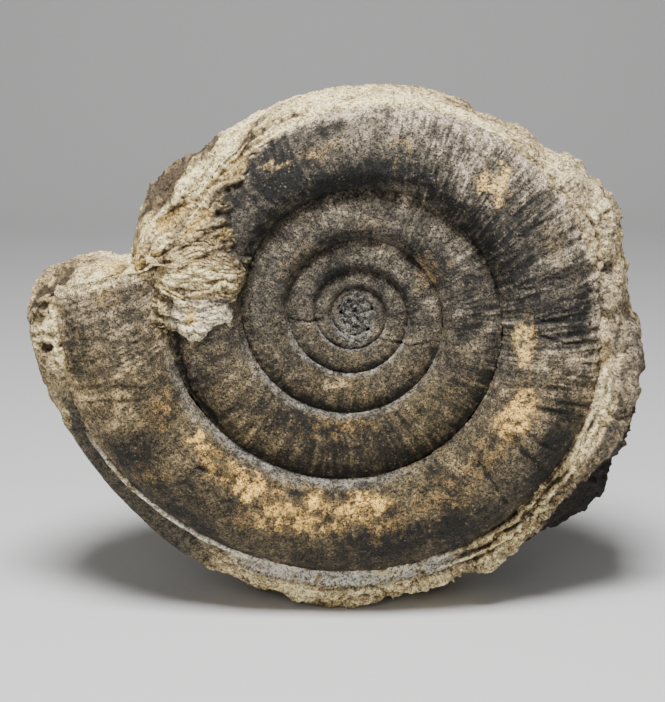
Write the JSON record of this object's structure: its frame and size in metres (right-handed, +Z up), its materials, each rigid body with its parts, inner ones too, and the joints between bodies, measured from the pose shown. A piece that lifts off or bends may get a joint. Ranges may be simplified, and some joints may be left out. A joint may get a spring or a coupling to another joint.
{
  "type": "ammonite fossil",
  "caption": "coiled ammonite fossil in a rough limestone block, with a broken outer end and rock left over one side, standing upright on a flat broken foot",
  "frame": {"origin": "on the surface that the stone stands on, under the middle of its bounding box", "axes": "+Z up, -Y the side that shows the coil's face, +X to the right as seen from in front of the face"},
  "size_m": [0.2844, 0.1008, 0.243],
  "materials": {
    "fossil_shell": "dark grey-brown mineral shell with a dull natural sheen, pale on the inner walls, ochre in patches",
    "limestone": "rough broken limestone, cream to grey, granular and flaky"
  },
  "bodies": {
    "root": {"ammonite": "fossil_shell", "rock_matrix": "limestone"}
  },
  "joints": []
}
